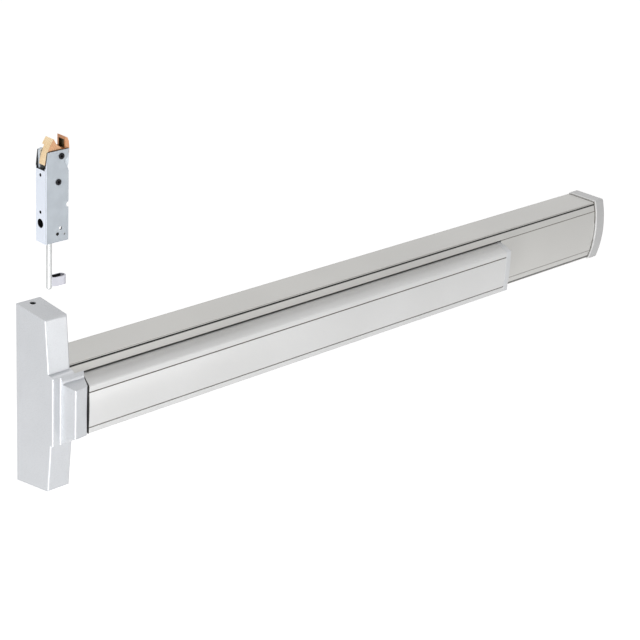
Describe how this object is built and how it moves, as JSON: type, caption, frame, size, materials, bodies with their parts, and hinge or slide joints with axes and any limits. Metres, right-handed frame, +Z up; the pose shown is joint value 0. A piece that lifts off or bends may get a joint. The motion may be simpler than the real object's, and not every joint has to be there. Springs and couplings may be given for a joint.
{
  "type": "vertical rod exit device",
  "caption": "Push bar exit device: pressing the bar in its wall rail works a crank in the active head, which draws down a vertical rod to a top latch with a pivoting bolt.",
  "frame": {"origin": "centre of the active head's back, on the door face", "axes": "+X along the bar away from the head, -Y towards the user, +Y into the door, +Z up"},
  "size_m": [0.9358, 0.0784, 0.3841],
  "materials": {
    "cast_cover": "satin cast",
    "aluminium_extrusion": "satin anodised",
    "zinc_steel": "zinc plated",
    "bright_steel": "bright",
    "black_nylon": "matte",
    "bronze_plated": "satin"
  },
  "bodies": {
    "device": {"base_plate": "zinc_steel", "head_cover": "cast_cover", "cover_screws": "bright_steel", "crank_bracket": "zinc_steel", "crank_pin": "bright_steel", "lift_post": "bright_steel", "lift_spring": "bright_steel", "rail": "aluminium_extrusion", "filler_plate": "aluminium_extrusion", "end_cap": "cast_cover", "end_bracket": "zinc_steel", "end_cap_screws": "bright_steel", "guide_bracket_left": "zinc_steel", "guide_bracket_right": "zinc_steel", "guide_rivets": "bright_steel", "latch_case": "zinc_steel", "bolt_pivot": "bright_steel", "catch_pivot": "bright_steel", "rod_guide": "zinc_steel", "latch_spring": "bright_steel"},
    "push_bar": {"touch_bar": "aluminium_extrusion", "touch_bar_end_cap": "cast_cover", "touch_bar_end_pad": "black_nylon", "bar_carrier_left": "black_nylon", "bar_carrier_right": "black_nylon", "guide_pin_left": "bright_steel", "guide_pin_right": "bright_steel", "actuator_arm": "zinc_steel", "arm_pin": "bright_steel"},
    "crank": {"bell_crank": "zinc_steel", "drive_pin": "bright_steel"},
    "carriage": {"lift_carriage": "zinc_steel"},
    "rod": {"latch_rod": "zinc_steel", "rod_collar": "zinc_steel", "latch_link": "zinc_steel", "rod_clip": "zinc_steel"},
    "bolt": {"latch_bolt": "bronze_plated", "bolt_link_pin": "bright_steel"},
    "catch": {"latch_catch": "bronze_plated"}
  },
  "joints": [
    {"name": "bar_push", "type": "slide", "parent": "device", "child": "push_bar", "axis": [0.4238, 0.9058, 0], "range_m": [0, 0.01203], "stiffness_N_per_m": 1500, "springref_m": -0.015},
    {"name": "crank_turn", "type": "hinge", "parent": "device", "child": "crank", "pos_m": [0, -0.02, 0.022], "axis": [1, 0, 0], "range_deg": [0, 28.74]},
    {"name": "carriage_lift", "type": "slide", "parent": "device", "child": "carriage", "axis": [0, 0, -1], "range_m": [0, 0.00844], "deforming": ["lift_spring"]},
    {"name": "rod_draw", "type": "slide", "parent": "device", "child": "rod", "axis": [0, 0, -1], "range_m": [0, 0.00844], "deforming": ["latch_spring"]},
    {"name": "bolt_turn", "type": "hinge", "parent": "device", "child": "bolt", "pos_m": [0.0108, -0.0325, 0.2646], "axis": [0, -1, 0], "range_deg": [0, 35.05]},
    {"name": "catch_turn", "type": "hinge", "parent": "device", "child": "catch", "pos_m": [0.0073, -0.0325, 0.2386], "axis": [0, 1, 0], "range_deg": [0, 7], "stiffness_Nm_per_rad": 0.4, "springref_deg": -2.86}
  ],
  "couplings": [
    {"joint": "crank_turn", "follows": "bar_push", "rad_per_m": 41.604},
    {"joint": "carriage_lift", "follows": "bar_push", "ratio": 0.6999},
    {"joint": "rod_draw", "follows": "bar_push", "ratio": 0.69966},
    {"joint": "bolt_turn", "follows": "bar_push", "rad_per_m": 50.761}
  ]
}
